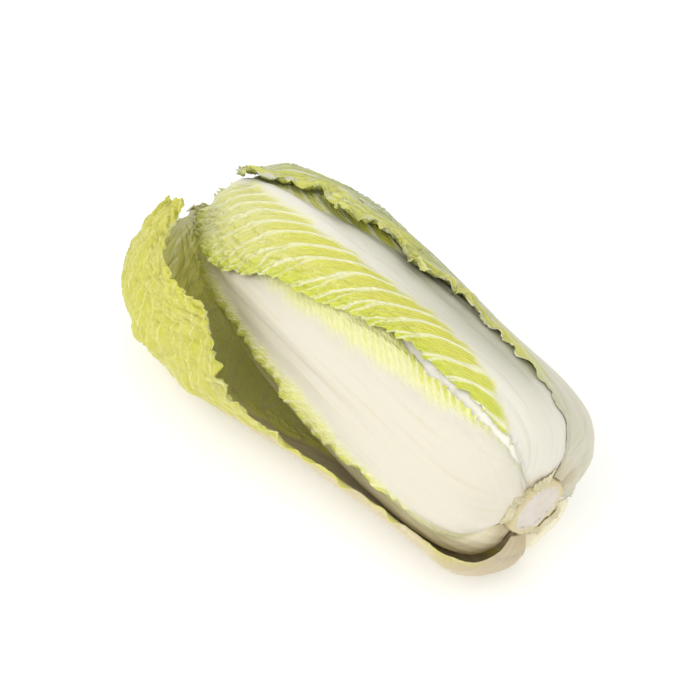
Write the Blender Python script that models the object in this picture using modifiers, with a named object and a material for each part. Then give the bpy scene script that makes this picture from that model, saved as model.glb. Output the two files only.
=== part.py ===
"""A head of napa cabbage lying on its side: a cut stem, the leaves wrapped round it and one loose outer leaf.

The head's axis runs along X, with the cut stem at +X and the leaf tips at -X. A place on a leaf has two
coordinates: the run, in mm along the head's outline from the stem to the tip, and the turn, in degrees
round the axis from the top (+Z) towards -Y. A third, the level, is the height in mm above the outline.
The leaves are laid one after another from the heart outwards, each on the smoothed surface of the ones
under it, so that they nest without touching.
"""

import math

import bmesh
import bpy
import numpy as np

MM = 0.001

# Head outline: distance from the cut face and radius, in mm, and the spindle inside it that the levels
# shrink towards. The leaves start on the line between their two first points, which is the stem's side.
OUTLINE = [(3, 22.4), (3, 28), (5, 38), (12, 49), (26, 57), (46, 61), (90, 62.5), (150, 62.5), (210, 60),
           (250, 54), (280, 43), (299, 29), (308, 12)]
SPINDLE = [(62, 18), (62, 18), (62, 18), (64, 17), (70, 15), (80, 13), (104, 10), (152, 8), (196, 8),
           (220, 6), (231, 4), (236, 2), (240, 1.5)]
STEM_PROFILE = [(0, 0), (0, 19.2), (1.2, 20.3), (30, 17.0), (46, 13.0), (55, 7.0), (58, 0)]
STEM_SIDES = 36
AXIS_HEIGHT = 69.0  # of the head's axis above the table

LEVEL_RUNS = 100  # the grid on which the levels are kept
LEVEL_TURNS = 144
LEAF_REACH = (3, 5)  # cells of that grid, along and round, that a leaf bridges
EVEN_REACH = (5, 8)  # cells over which the stack's height is evened out
COVER_MARGIN = 4.0  # mm and degrees past its margins over which a leaf still lifts the next ones
BLADE = 1.2  # thickness away from the midrib
RIB_HALF_WIDTH = (27.0, 7.0)  # of a midrib, at the base and the tip
RIB_HEIGHT = (7.0, 1.8)  # of a midrib over the blade, at the base and the tip
LOOSE_RIB = 0.8  # scales the loose leaf's midrib
STUB_RIB, STUB_CLEARANCE = 0.25, 1.0
CLEARANCE = 1.9  # between a leaf and the ones under it
GOLDEN_TURN = 137.5  # from one leaf to the next round the stem
BASE_RUN = 50.0  # the run by which the leaf bases have spread out into the head

# Two sectors of the head are slimmer, to make room for the leaves outside them. Each has its middle turn,
# the half of its width in degrees, the degrees by which it fades out, and its depth in mm.
LOOSE_SECTOR, LOOSE_ROOM, LOOSE_RUN = (128, 42, 12), 11.0, 120.0  # the last is where its depth ends
SLIM_SECTOR, SLIM_ROOM = (-85, 45, 20), 2.0

# How far the right leaf's tip stands off, by run, and the degrees before its high margin over which that
# falls to nothing.
NO_LIFT = [(0, 0), (350, 0)]
RIGHT_LIFT = [(0, 0), (160, 0), (205, 2), (240, 6), (275, 9), (310, 9), (344, 8)]
LIFT_FALL = 50.0

# Rows of a leaf's coarse grid, as runs in mm, shared by all leaves so that their facets lie parallel.
ROWS_FINE = [0, 10, 22, 36, 54, 80, 112, 150, 190, 230, 262, 290, 312, 330, 344]
ROWS_PLAIN = [0, 10, 22, 54, 80, 112, 150, 190, 230, 262, 290, 312, 330]

# Leaves of the heart, from the inside outwards: how many, and how they widen and lengthen.
HEART_LEAVES = 6
INNER_LEAVES = 8

# The outer leaves, from the inside outwards. Each station is a run, the turn of the midrib and the turns
# of the two margins.
LEAVES = {
    "white_ribbed_leaf": [(0, 12, -22, 46), (54, 12, -36, 60), (112, 12, -48, 72), (230, 10, -62, 82),
                          (312, 8, -66, 82), (344, 8, -40, 56)],
    "lower_leaf": [(0, 130, 98, 162), (54, 128, 84, 172), (112, 127, 78, 180), (230, 126, 68, 186),
                   (312, 126, 66, 188), (340, 126, 84, 168)],
    "front_leaf": [(0, 60, 23, 98), (36, 62, 17, 104), (80, 62, 13, 104), (112, 62, 14, 102),
                   (150, 62, 8, 101), (230, 64, -4, 93), (290, 66, -10, 98), (325, 66, 4, 96),
                   (344, 64, 26, 92)],
    "top_leaf": [(0, -25, -64, 16), (36, -28, -60, 12), (80, -28, -56, 13), (112, -25, -53, 17),
                 (150, -21, -52, 24), (190, -16, -54, 34), (230, -10, -58, 44), (262, -6, -64, 60),
                 (290, -3, -72, 72), (325, 0, -72, 76), (344, 2, -52, 58)],
    "under_leaf": [(0, 194, 162, 230), (54, 192, 154, 240), (112, 191, 148, 246), (230, 190, 140, 252),
                   (312, 190, 138, 252), (340, 190, 160, 228)],
    "right_leaf": [(0, -84, -120, -44), (36, -85, -128, -32), (112, -88, -136, -28), (150, -88, -140, -25),
                   (190, -87, -144, -23), (230, -85, -146, -13), (290, -80, -148, -2), (325, -74, -142, 12),
                   (342, -72, -124, 4)],
}
STUBS = {"stub_of_trimmed_leaf_1": (200, 32), "stub_of_trimmed_leaf_2": (62, 32),
         "stub_of_trimmed_leaf_3": (-22, 36)}
STUB_LENGTH = 9.0

# The loose outer leaf stands off the head. Its stations are the distance from the cut face, its section's
# centre across and above the axis, the section's radius, and the turns of the midrib, near and far margins.
LOOSE_LEAF = [(2, 0, 0, 22.5, 130, 102, 158), (-1, 0, 0, 34, 130, 99, 158), (2, 0, 0, 48, 129, 97, 158),
              (10, 0, 0, 56, 128, 96, 158), (36, 0, 0, 61, 128, 96, 157), (70, -3, 0, 63.5, 128, 96, 155),
              (105, -9, 0, 65.5, 128, 95, 158), (150, -18, -1.5, 65.5, 130, 89, 170),
              (200, -31, -5, 63.5, 132, 76, 184), (240, -39, -8, 61.5, 134, 40, 194),
              (275, -42, -11, 57, 134, 27, 206), (303, -40, -13, 50, 132, 10, 225),
              (321, -35, -14, 39, 128, -8, 250), (331, -30, -13, 28, 120, -30, 275),
              (337, -27, -13, 17, 114, -40, 285)]
LOOSE_LEAF_ROWS = 20
LOOSE_LEAF_COLUMNS = 12


def through(stations, at):
    """A smooth curve through rows of numbers, whose first column is the coordinate that `at` is in."""
    table = np.array(stations, float)
    knots, values = table[:, 0], table[:, 1:]
    slopes = np.gradient(values, knots, axis=0)
    at = np.clip(np.asarray(at, float), knots[0], knots[-1])
    place = np.clip(np.searchsorted(knots, at, side="right") - 1, 0, len(knots) - 2)
    span = (knots[place + 1] - knots[place])[..., None]
    t = ((at - knots[place])[..., None]) / span
    return ((2 * t**3 - 3 * t**2 + 1) * values[place] + (t**3 - 2 * t**2 + t) * span * slopes[place]
            + (3 * t**2 - 2 * t**3) * values[place + 1] + (t**3 - t**2) * span * slopes[place + 1])


def chord_runs(points):
    """How far along it each point of an outline is."""
    steps = np.linalg.norm(np.diff(np.array(points, float), axis=0), axis=1)
    return np.concatenate([[0.0], np.cumsum(steps)])


RUNS = chord_runs(OUTLINE)
HEAD_RUN = float(RUNS[-1])
FAMILY = np.column_stack([RUNS, np.array(OUTLINE, float), np.array(SPINDLE, float)])


def head_point(run, turn, level):
    """The place in the part's frame, in metres, of a run, turn and level."""
    curves = through(FAMILY, run)
    outer, inner = curves[..., :2], curves[..., 2:]
    outward = (outer - inner) / np.linalg.norm(outer - inner, axis=-1, keepdims=True)
    along, radius = np.moveaxis(outer + outward * np.asarray(level)[..., None], -1, 0)
    angle = np.radians(turn)
    return np.stack([-along, -radius * np.sin(angle), AXIS_HEIGHT + radius * np.cos(angle)], -1) * MM


def apart(turn, other):
    """The signed angle between two turns, in degrees, from -180 to 180."""
    return (np.asarray(turn) - other + 180.0) % 360.0 - 180.0


def leaf_thickness(run, across, rib):
    """Thickness in mm at a run and a distance in mm across from the midrib. `rib` scales the midrib."""
    fade = np.clip(np.asarray(run) / HEAD_RUN, 0.0, 1.0)
    half_width = rib * ((1.0 - fade) * RIB_HALF_WIDTH[0] + fade * RIB_HALF_WIDTH[1])
    height = rib * ((1.0 - fade) * RIB_HEIGHT[0] + fade * RIB_HEIGHT[1])
    bulge = np.clip(1.0 - (np.asarray(across) / half_width) ** 2, 0.0, 1.0) ** 1.5
    return BLADE + height * bulge


class Levels:
    """The height of what has been laid so far, on a grid of runs and turns."""

    def __init__(self):
        self.runs = np.linspace(0.0, HEAD_RUN, LEVEL_RUNS)
        self.turns = np.arange(LEVEL_TURNS) * 360.0 / LEVEL_TURNS
        self.top = np.zeros((LEVEL_RUNS, LEVEL_TURNS))

    def smoothed(self):
        """The surface that a leaf takes over the steps below it, nowhere under them."""
        return self.over(self.over(self.top, LEAF_REACH, np.max), LEAF_REACH, np.mean)

    @staticmethod
    def over(grid, reaches, take):
        """A grid's greatest or mean value within so many cells along and round."""
        along, around = reaches
        rows = np.arange(len(grid))
        grid = take([grid[np.clip(rows + step, 0, len(grid) - 1)] for step in range(-along, along + 1)],
                    axis=0)
        return take([np.roll(grid, step, axis=1) for step in range(-around, around + 1)], axis=0)

    def read(self, grid, run, turn):
        """A grid's value between its points."""
        row = np.clip(np.asarray(run) / HEAD_RUN, 0.0, 1.0) * (LEVEL_RUNS - 1)
        column = (np.asarray(turn) % 360.0) * LEVEL_TURNS / 360.0
        r0 = np.minimum(row.astype(int), LEVEL_RUNS - 2)
        c0 = column.astype(int) % LEVEL_TURNS
        c1 = (c0 + 1) % LEVEL_TURNS
        fr, fc = row - r0, column - np.floor(column)
        return ((1 - fr) * ((1 - fc) * grid[r0, c0] + fc * grid[r0, c1])
                + fr * ((1 - fc) * grid[r0 + 1, c0] + fc * grid[r0 + 1, c1]))

    def squeezed(self, body):
        """What to multiply the levels by for an even head, and how high its surface then is.

        `body` is the level of the head's surface before the last leaves. At the base all the leaves
        count, since they share the stem, and the loose leaf's base needs room.
        """
        base = np.clip(1.0 - self.runs / BASE_RUN, 0.0, 1.0)[:, None]
        stack = self.over(base * self.top + (1.0 - base) * body, EVEN_REACH, np.mean)
        height = float(body[LEVEL_RUNS // 4:3 * LEVEL_RUNS // 4].mean())
        depth = LOOSE_ROOM * np.clip(1.0 - self.runs / LOOSE_RUN, 0.0, 1.0)[:, None]
        room = depth * self.within(LOOSE_SECTOR) + SLIM_ROOM * self.within(SLIM_SECTOR)
        return (height - room) / stack, height

    def within(self, sector):
        """1 at the turns inside a sector and 0 outside, with a fade between."""
        mid, half, fade = sector
        return np.clip((half + fade - np.abs(apart(self.turns, mid))) / (2 * fade), 0.0, 1.0)

    def lay(self, leaf):
        """Lays a leaf over the rest, and keeps the level of its inner side."""
        run = self.runs[:, None]
        mid, low, high = np.moveaxis(through(leaf["stations"], self.runs), -1, 0)[:, :, None]
        offset = apart(self.turns[None, :], mid)
        share_lifted = np.clip((high - mid - offset) / LIFT_FALL, 0.0, 1.0)
        under = self.smoothed() + leaf["clearance"] + through(leaf["lift"], self.runs) * share_lifted
        leaf["under"] = under
        radius = through(FAMILY, self.runs)[:, None, 1]
        across = np.radians(offset) * radius
        covered = (offset > low - mid - COVER_MARGIN) & (offset < high - mid + COVER_MARGIN)
        covered &= run < leaf["stations"][-1][0] + COVER_MARGIN
        top = under + leaf_thickness(run, across, leaf["rib"])
        self.top = np.where(covered, np.maximum(self.top, top), self.top)


def leaf_list():
    """Every leaf of the head, from the heart outwards, as plain settings."""
    leaves = []
    wrapped = HEART_LEAVES + INNER_LEAVES
    first_turn = 12.0 - GOLDEN_TURN
    for place in range(wrapped):
        in_heart = place < HEART_LEAVES
        name = f"heart_leaf_{place + 1}" if in_heart else f"inner_leaf_{place - HEART_LEAVES + 1}"
        share = place / (wrapped - 1)
        mid = first_turn - GOLDEN_TURN * (wrapped - 1 - place)
        widths = [(0, 40 + 10 * (1 - share)), (54, 62 + 26 * (1 - share)), (140, 78 + 32 * (1 - share)),
                  (240, 88 + 30 * (1 - share)), (318, 80 + 20 * (1 - share)), (344, 50)]
        stations = [(run, mid, mid - width, mid + width) for run, width in widths]
        leaves.append({"name": name, "stations": stations, "rib": 0.35 + 0.5 * share, "rows": ROWS_PLAIN,
                       "columns": 8 if in_heart else 10, "clearance": CLEARANCE + 1.0 * (1 - share),
                       "lift": NO_LIFT})
    for name, stations in LEAVES.items():
        if name == "right_leaf":
            leaves += [stub_settings(stub) for stub in STUBS]
        lift = RIGHT_LIFT if name == "right_leaf" else NO_LIFT
        leaves.append({"name": name, "stations": stations, "rib": 1.0, "rows": ROWS_FINE, "columns": 10,
                       "clearance": CLEARANCE, "lift": lift})
    return leaves


def stub_settings(name):
    """The stub of a trimmed leaf, as `leaf_list` describes a leaf."""
    mid, width = STUBS[name]
    stations = [(0, mid, mid - width, mid + width), (STUB_LENGTH, mid, mid - width * 0.8, mid + width * 0.8)]
    return {"name": name, "stations": stations, "rib": STUB_RIB, "rows": [0, STUB_LENGTH / 2, STUB_LENGTH],
            "columns": 8, "clearance": STUB_CLEARANCE, "lift": NO_LIFT}


def material(name, colour, roughness):
    """A plain material, for a body whose look comes later."""
    made = bpy.data.materials.new(name)
    made.use_nodes = True
    shader = made.node_tree.nodes["Principled BSDF"]
    shader.inputs["Base Color"].default_value = (*colour, 1.0)
    shader.inputs["Roughness"].default_value = roughness
    shader.inputs["Metallic"].default_value = 0.0
    return made


def leaf_sheet(name, rows, columns, place, thickness, colour):
    """A leaf: an open grid bent into place by `place(u, v)`, then thickened outwards by a Solidify.

    u runs from 0 at the base to 1 at the tip and v from 0 at the low margin to 1 at the high one.
    `thickness(u, v)` is in mm.
    """
    bm = bmesh.new()
    bmesh.ops.create_grid(bm, x_segments=rows, y_segments=columns, size=0.5)
    bm.verts.ensure_lookup_table()
    u = np.array([v.co.x + 0.5 for v in bm.verts])
    v = np.array([v.co.y + 0.5 for v in bm.verts])
    points = place(u, v)
    thick = thickness(u, v)
    for vert, point in zip(bm.verts, points):
        vert.co = point
    mesh = bpy.data.meshes.new(name)
    bm.to_mesh(mesh)
    bm.free()
    mesh.shade_smooth()
    obj = bpy.data.objects.new(name, mesh)
    group = obj.vertex_groups.new(name="thickness")
    most = float(thick.max())
    for index, value in enumerate(thick):
        group.add([index], float(value) / most, "REPLACE")
    shell = obj.modifiers.new("leaf_thickness", "SOLIDIFY")
    shell.thickness = most * MM
    shell.offset = 1.0
    shell.vertex_group = "thickness"
    shell.thickness_vertex_group = 0.0
    obj.data.materials.append(material(name + "_flesh", colour, 0.45))
    return obj


def head_leaf(leaf, levels, squeeze, height, colour):
    """A leaf of the head, on the level that `Levels.lay` gave it."""
    length = leaf["stations"][-1][0]
    rows = np.array([run for run in leaf["rows"] if run < length - 6.0] + [length])
    steps = np.linspace(0.0, 1.0, len(rows))

    def where(u, v):
        run = np.interp(u, steps, rows)
        mid, low, high = np.moveaxis(through(leaf["stations"], run), -1, 0)
        turn = low + (high - low) * v
        return run, mid, turn

    def place(u, v):
        run, _, turn = where(u, v)
        return head_point(run, turn, levels.read(leaf["under"] * squeeze, run, turn) - height)

    def thickness(u, v):
        run, mid, turn = where(u, v)
        across = np.radians(turn - mid) * through(FAMILY, run)[..., 1]
        return leaf_thickness(run, across, leaf["rib"]) * levels.read(squeeze, run, turn)

    return leaf_sheet(leaf["name"], len(rows) - 1, leaf["columns"], place, thickness, colour)


def loose_leaf(colour):
    """The outer leaf that has come away from the head and curls over like a hood at its tip."""
    table = np.array(LOOSE_LEAF, float)
    runs = chord_runs(table[:, [0, 3]])
    stations = np.column_stack([runs, table])

    def place(u, v):
        along, y, z, radius, _, near, far = np.moveaxis(through(stations, u * runs[-1]), -1, 0)
        turn = np.radians(near + (far - near) * v)
        height = np.maximum(AXIS_HEIGHT + z + radius * np.cos(turn), BLADE + 0.1)
        return np.stack([-along, y - radius * np.sin(turn), height], -1) * MM

    def thickness(u, v):
        _, _, _, radius, mid, near, far = np.moveaxis(through(stations, u * runs[-1]), -1, 0)
        across = np.radians(near + (far - near) * v - mid) * radius
        return leaf_thickness(u * HEAD_RUN, across, LOOSE_RIB)

    return leaf_sheet("loose_outer_leaf", LOOSE_LEAF_ROWS, LOOSE_LEAF_COLUMNS, place, thickness, colour)


def stem(colour):
    """The cut stem, turned from its outline: the flat cut is at +X and the growing point in the heart."""
    mesh = bpy.data.meshes.new("cut_stem")
    points = [(radius * MM, 0.0, -along * MM) for along, radius in STEM_PROFILE]
    mesh.from_pydata(points, [(i, i + 1) for i in range(len(points) - 1)], [])
    obj = bpy.data.objects.new("cut_stem", mesh)
    turned = obj.modifiers.new("turned", "SCREW")
    turned.axis = "Z"
    turned.steps = turned.render_steps = STEM_SIDES
    turned.use_merge_vertices = True
    turned.merge_threshold = 0.00001
    turned.use_normal_calculate = True
    obj.rotation_euler = (0.0, math.pi / 2, 0.0)
    obj.location = (0.0, 0.0, AXIS_HEIGHT * MM)
    obj.data.materials.append(material("stem_flesh", colour, 0.5))
    return obj


def rest_cutter():
    """The table, which presses the lowest midrib flat."""
    bm = bmesh.new()
    bmesh.ops.create_cube(bm, size=1.0)
    mesh = bpy.data.meshes.new("table_cutter")
    bm.to_mesh(mesh)
    bm.free()
    cutter = bpy.data.objects.new("table_cutter", mesh)
    depth = 0.02
    cutter.scale = (0.5, 0.4, depth)
    cutter.location = (-0.16, 0.0, -depth / 2)
    cutter.hide_render = True
    cutter.display_type = "WIRE"
    return cutter


def lowest_and_highest(objects):
    """The corners of the box round the objects, as the viewport evaluates them."""
    bpy.context.view_layer.update()
    graph = bpy.context.evaluated_depsgraph_get()
    corners = []
    for obj in objects:
        seen = obj.evaluated_get(graph)
        mesh = seen.to_mesh()
        points = np.empty(len(mesh.vertices) * 3, np.float32)
        mesh.vertices.foreach_get("co", points)
        matrix = np.array(seen.matrix_world)
        corners.append(points.reshape(-1, 3) @ matrix[:3, :3].T + matrix[:3, 3])
        seen.to_mesh_clear()
    every = np.concatenate(corners)
    return every.min(axis=0), every.max(axis=0)


def main():
    for obj in list(bpy.data.objects):
        bpy.data.objects.remove(obj, do_unlink=True)
    head = bpy.data.collections.new("napa_cabbage")
    helpers = bpy.data.collections.new("cutters")
    bpy.context.scene.collection.children.link(head)
    bpy.context.scene.collection.children.link(helpers)

    levels = Levels()
    leaves = leaf_list()
    for leaf in leaves:
        levels.lay(leaf)
        if leaf["name"] == "top_leaf":
            surface = levels.top
    squeeze, height = levels.squeezed(surface)
    print(f"stack {height:.1f} mm, squeezed by {squeeze.min():.2f} to {squeeze.max():.2f}")

    white, pale, green = (0.86, 0.87, 0.72), (0.72, 0.78, 0.36), (0.52, 0.66, 0.16)
    objects = [stem(white)]
    for leaf in leaves:
        name = leaf["name"]
        colour = white if name.startswith("stub") else green if name in LEAVES else pale
        objects.append(head_leaf(leaf, levels, squeeze, height, colour))
    objects.append(loose_leaf(green))
    cutter = rest_cutter()
    helpers.objects.link(cutter)
    for obj in objects:
        head.objects.link(obj)
        if obj.name == "under_leaf":
            cut = obj.modifiers.new("pressed_flat", "BOOLEAN")
            cut.object = cutter
            cut.operation = "DIFFERENCE"

    lowest, highest = lowest_and_highest(objects)
    shift = (-(lowest[0] + highest[0]) / 2, -(lowest[1] + highest[1]) / 2, -lowest[2])
    for obj in objects + [cutter]:
        obj.location.x += shift[0]
        obj.location.y += shift[1]
        obj.location.z += shift[2]
    print("shift", shift)


main()
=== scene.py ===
"""A head of napa cabbage lying on its side, every leaf modelled and shaded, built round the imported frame."""

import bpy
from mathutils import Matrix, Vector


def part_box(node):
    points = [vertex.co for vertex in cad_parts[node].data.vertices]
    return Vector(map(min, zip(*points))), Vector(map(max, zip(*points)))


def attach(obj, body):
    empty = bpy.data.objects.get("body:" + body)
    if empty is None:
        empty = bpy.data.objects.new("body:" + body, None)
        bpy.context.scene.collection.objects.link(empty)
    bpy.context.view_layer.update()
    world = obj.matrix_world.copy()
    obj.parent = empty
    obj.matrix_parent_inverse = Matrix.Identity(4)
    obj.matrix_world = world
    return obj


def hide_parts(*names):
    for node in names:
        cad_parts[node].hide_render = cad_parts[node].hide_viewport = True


bl_info = {
    "name": "Napa Cabbage",
    "version": (1, 0, 0),
    "blender": (4, 5, 0),
    "location": "3D View > Sidebar > Cabbage",
    "description": "Builds a head of napa cabbage leaf by leaf, with its cut stem and a plain studio stage",
    "category": "Add Mesh",
}

import functools
import math
from dataclasses import dataclass, field

import bpy
import numpy as np
from bpy.props import FloatProperty, FloatVectorProperty, IntProperty, PointerProperty
from mathutils import Matrix, Vector

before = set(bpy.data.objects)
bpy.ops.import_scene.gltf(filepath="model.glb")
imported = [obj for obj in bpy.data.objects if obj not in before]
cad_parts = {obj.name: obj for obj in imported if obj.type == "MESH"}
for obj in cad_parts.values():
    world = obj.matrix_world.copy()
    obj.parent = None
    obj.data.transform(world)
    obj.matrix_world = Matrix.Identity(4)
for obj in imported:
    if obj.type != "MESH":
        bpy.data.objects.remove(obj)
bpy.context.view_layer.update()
STEM_LOW, STEM_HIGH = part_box("cut_stem")
CUT_X = STEM_HIGH.x  # of the cut face
AXIS_Y = (STEM_LOW.y + STEM_HIGH.y) / 2
AXIS_Z = (STEM_LOW.z + STEM_HIGH.z) / 2
STEM_RADIUS = (STEM_HIGH.z - STEM_LOW.z) / 2 * 1000
MM = 0.001
OBJECT_MM, UV_MM = 1000.0, 100.0  # to a unit of Object coordinates, and to one of the leaves' UV map

# A place on a leaf has two coordinates: the run, in mm along the head's outline from the stem to the tip, and
# the turn, in degrees round the axis from the top towards -Y. The level is the height in mm over the outline.
# The outline is the distance from the cut face and the radius, and the spindle is what levels shrink towards.
OUTLINE = [(0.8, 20.6), (1.4, 28), (3.6, 38), (10.5, 49), (24.5, 57), (45, 61), (90, 62.5), (150, 62.5),
           (210, 60), (250, 54), (280, 44.5), (299, 31), (309, 9), (304, 1.5)]
SPINDLE = [(62, 17), (62, 18), (62, 18), (64, 17), (70, 15), (80, 13), (104, 10), (152, 8), (196, 8),
           (220, 6), (231, 4), (236, 2), (240, 1), (241, 0.3)]
LEVEL_RUNS = 180  # the grid on which the levels are kept
LEVEL_TURNS = 288
LEVEL_REACH = (3, 3)  # cells of it that a leaf bridges along and round
GOLDEN_TURN = 137.5  # from one leaf to the next round the stem
HEART_LEAVES = 6
INNER_LEAVES = 8
NOISE_CELLS = 64  # after which noise repeats
ROOM_SHARE = 0.9  # of the room over a leaf that its relief may fill
BASE_RUN = 50.0  # the run by which the leaf bases have spread out into the head
# A sector is its middle, half its width and the width over which it fades out, in degrees.
LOOSE_SECTOR, LOOSE_ROOM, LOOSE_RUN = (128, 42, 24), 7.0, 120.0  # the loose leaf's base, its depth and end
SLIM_SECTOR, SLIM_ROOM = (-85, 45, 40), 2.0  # the side that the right leaf wraps, and how far it is set in
SQUEEZE_REACH = (9, 16)  # cells over which the stack of leaves is evened out
VESSEL_DEPTH = 0.0002  # of the middles of the vessel ends behind the front of the cut stem
RIB_HEIGHT = (7.0, 1.8)  # of the midrib over the blade, at the base and the tip
# How far a branch parts from its side vein as a share of the gap between veins, the distances from the midrib
# at which it starts and is done, in mm, and its height.
BRANCHES = ((0.0, 0, 1, 1.0), (0.46, 8, 44, 0.75), (-0.3, 18, 60, 0.6))
FIELDS = ("rib", "phase", "vein_pitch", "margin", "green", "shade", "spread", "inside", "base")

GREY_SKIN_AND_SHADE = (0.6, 0.62, 0.55, 1.0)  # what a leaf's colour is multiplied by where it is greyest, partly the skin's own grey and partly painted shade

# The stage, in metres. Places are to the right of the target, up and back, as the camera sees them.
CAMERA_AZIMUTH, CAMERA_ELEVATION = math.radians(53.0), math.radians(49.0)
CAMERA_PLACE = (-0.0141, -0.0027, 1.0)
TARGET_DEPTH = 0.155  # of the target, a point on the head's axis, behind the cut face
LIGHTS = (("key", 1.1, (-0.85, 0.4, 0.85)), ("fill", 1.0, (0.1, 0.15, 1.0)))  # name, side and place
FLOOR_HALF = 4.0  # half the floor's side


# ---------------------------------------------------------------- small mathematics

def through(stations, at):
    """A smooth curve through rows of numbers, whose first column is the coordinate that `at` is in."""
    table = np.array(stations, float)
    knots, values = table[:, 0], table[:, 1:]
    slopes = np.gradient(values, knots, axis=0)
    at = np.clip(np.asarray(at, float), knots[0], knots[-1])
    place = np.clip(np.searchsorted(knots, at, side="right") - 1, 0, len(knots) - 2)
    span = (knots[place + 1] - knots[place])[..., None]
    t = ((at - knots[place])[..., None]) / span
    return ((2 * t**3 - 3 * t**2 + 1) * values[place] + (t**3 - 2 * t**2 + t) * span * slopes[place]
            + (3 * t**2 - 2 * t**3) * values[place + 1] + (t**3 - t**2) * span * slopes[place + 1])


def ease(value, low, high):
    """0 below `low`, 1 above `high` and a smooth step between."""
    t = np.clip((np.asarray(value) - low) / (high - low), 0.0, 1.0)
    return t * t * (3.0 - 2.0 * t)


def noise(x, y, seed):
    """Smooth noise from -1 to 1 with a cell a unit wide, the same for the same seed."""
    table = np.random.default_rng(seed).uniform(-1.0, 1.0, (NOISE_CELLS, NOISE_CELLS))
    x, y = np.broadcast_arrays(np.asarray(x, float), np.asarray(y, float))
    left, low = np.floor(x).astype(int), np.floor(y).astype(int)
    tx, ty = x - left, y - low
    tx, ty = tx * tx * (3 - 2 * tx), ty * ty * (3 - 2 * ty)

    def corner(i, j):
        return table[(left + i) % NOISE_CELLS, (low + j) % NOISE_CELLS]

    near = corner(0, 0) * (1 - tx) + corner(1, 0) * tx
    far = corner(0, 1) * (1 - tx) + corner(1, 1) * tx
    return near * (1 - ty) + far * ty


def crumple(x, y, seed):
    """Creased noise from 0 in the creases to about 1 on the puffs."""
    puffs = 1.0 - np.abs(noise(x, y, seed))
    small = 1.0 - np.abs(noise(x * 2.1 + 7.3, y * 2.1 + 3.1, seed + 1))
    return 1.0 - (0.65 * puffs**2 + 0.35 * small**2)


def apart(turn, other):
    """The signed angle between two turns, in degrees, from -180 to 180."""
    return (np.asarray(turn) - other + 180.0) % 360.0 - 180.0


def in_sector(turns, sector):
    """1 inside a sector and 0 outside it."""
    mid, half, fade = sector
    return np.clip((half + fade / 2.0 - np.abs(apart(turns, mid))) / fade, 0.0, 1.0)


def chord_runs(points):
    """How far along it each point of an outline is."""
    steps = np.linalg.norm(np.diff(np.array(points, float), axis=0), axis=1)
    return np.concatenate([[0.0], np.cumsum(steps)])


# The columns of the family are the run, the outline and the spindle.
HEAD_RUN = float(chord_runs(OUTLINE)[-1])
FAMILY = np.column_stack([chord_runs(OUTLINE), np.array(OUTLINE, float), np.array(SPINDLE, float)])


def round_axis(along, across, radius, turn, above=0.0):
    """The place in the frame, in metres, of a point given round the head's axis in mm and degrees."""
    angle = np.radians(turn)
    return np.stack(np.broadcast_arrays(
        CUT_X - along * MM, AXIS_Y + (across - radius * np.sin(angle)) * MM,
        AXIS_Z + (above + radius * np.cos(angle)) * MM), -1)


def head_point(run, turn, level):
    """The place in the frame, in metres, of a run, turn and level."""
    curves = through(FAMILY, run)
    outer, inner = curves[..., :2], curves[..., 2:]
    outward = (outer - inner) / np.linalg.norm(outer - inner, axis=-1, keepdims=True)
    along, radius = np.moveaxis(outer + outward * np.asarray(level)[..., None], -1, 0)
    return round_axis(along, 0.0, radius, turn)


# ---------------------------------------------------------------- leaves

@dataclass
class Leaf:
    """One leaf. Stations are run, turn of the midrib, and turns of the low and high margins. Levels.lay adds
    where it lies on its grid and the levels of its sides, and laid_head its floor and the room over it."""
    name: str
    stations: list
    look: str
    ribs: list = None  # run, and the turns of the midrib's low and high edges
    rows: int = 270
    columns: int = 170
    clearance: float = 0.3
    lift: list = field(default_factory=lambda: [(0, 0), (400, 0)])
    rib: float = 1.0  # scales the midrib's thickness
    blade: float = 0.75  # thickness away from the midrib
    soft: float = 4.5  # width in mm over which the midrib's colour fades into the blade
    spacing: float = 12.0  # between side veins at the midrib
    sweep: float = 2.4  # slope at which they leave it
    reach: float = 24.0  # over which they bend outwards
    vein: float = 0.5  # height of a side vein
    blister: float = 0.9  # height of the puffs between veins
    frill: float = 2.6  # height of the waves along the margins
    wave: float = 4.6  # length of those waves
    teeth: float = 1.6  # depth of the teeth of the margins
    lobes: float = 2.4  # depth of the lobes that the teeth sit on
    tip_cut: float = 3.0  # depth of the lobes of the tip
    band: float = 11.0  # width of the deeper colour along the margins
    coarser: float = 1.0  # scales the side veins' spacing on the high side
    hug: float = 0.0  # degrees over which the lift falls off towards the high margin
    shade: list = field(default_factory=lambda: [(-180, 0), (180, 0)])  # turn, and how grey it is there, partly the skin's own grey and partly painted shade
    green: list = field(default_factory=lambda: [(0, 0), (60, 0.15), (130, 0.8), (230, 1.0), (344, 0.8)])
    seed: int = 1


def rib_edges(stations, rib):
    """A midrib's edges where a leaf doesn't state them."""
    rows = []
    for run, mid, *_ in stations:
        radius = through(FAMILY, run)[1]
        half = math.degrees(rib * (27.0 - 20.0 * min(run / HEAD_RUN, 1.0)) / max(radius, 15.0))
        rows.append((run, mid - half, mid + half))
    return rows


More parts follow.
